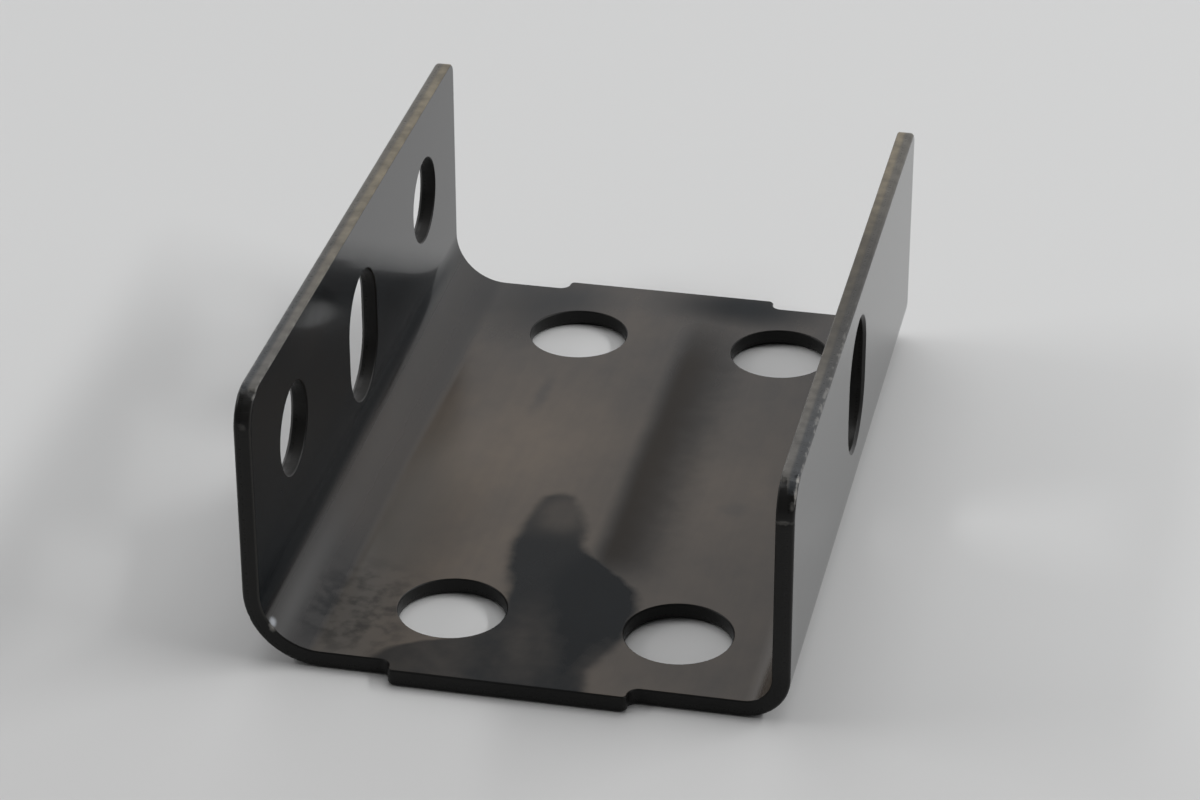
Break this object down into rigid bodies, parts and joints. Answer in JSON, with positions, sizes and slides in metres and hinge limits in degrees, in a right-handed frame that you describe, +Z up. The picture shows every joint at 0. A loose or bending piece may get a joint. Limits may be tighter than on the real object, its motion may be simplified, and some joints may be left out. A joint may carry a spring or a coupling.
{
  "type": "stamped metal bracket",
  "caption": "Folded sheet-steel channel bracket with unequal flanges, bolt holes in the base and taller flange, in-line upright slots in both flanges, and locating tabs on its ends.",
  "frame": {"origin": "under the middle of the base, on the plane that its underside rests on", "axes": "+X across the channel from the tall flange to the short one, +Y along the folds, +Z up out of the open side"},
  "size_m": [0.06, 0.0922, 0.0324],
  "materials": {
    "oiled_steel": "dark mill-finish sheet steel with a thin oil film, semi-gloss, bare at scuffed corners"
  },
  "bodies": {
    "root": {"bracket": "oiled_steel"}
  },
  "joints": []
}
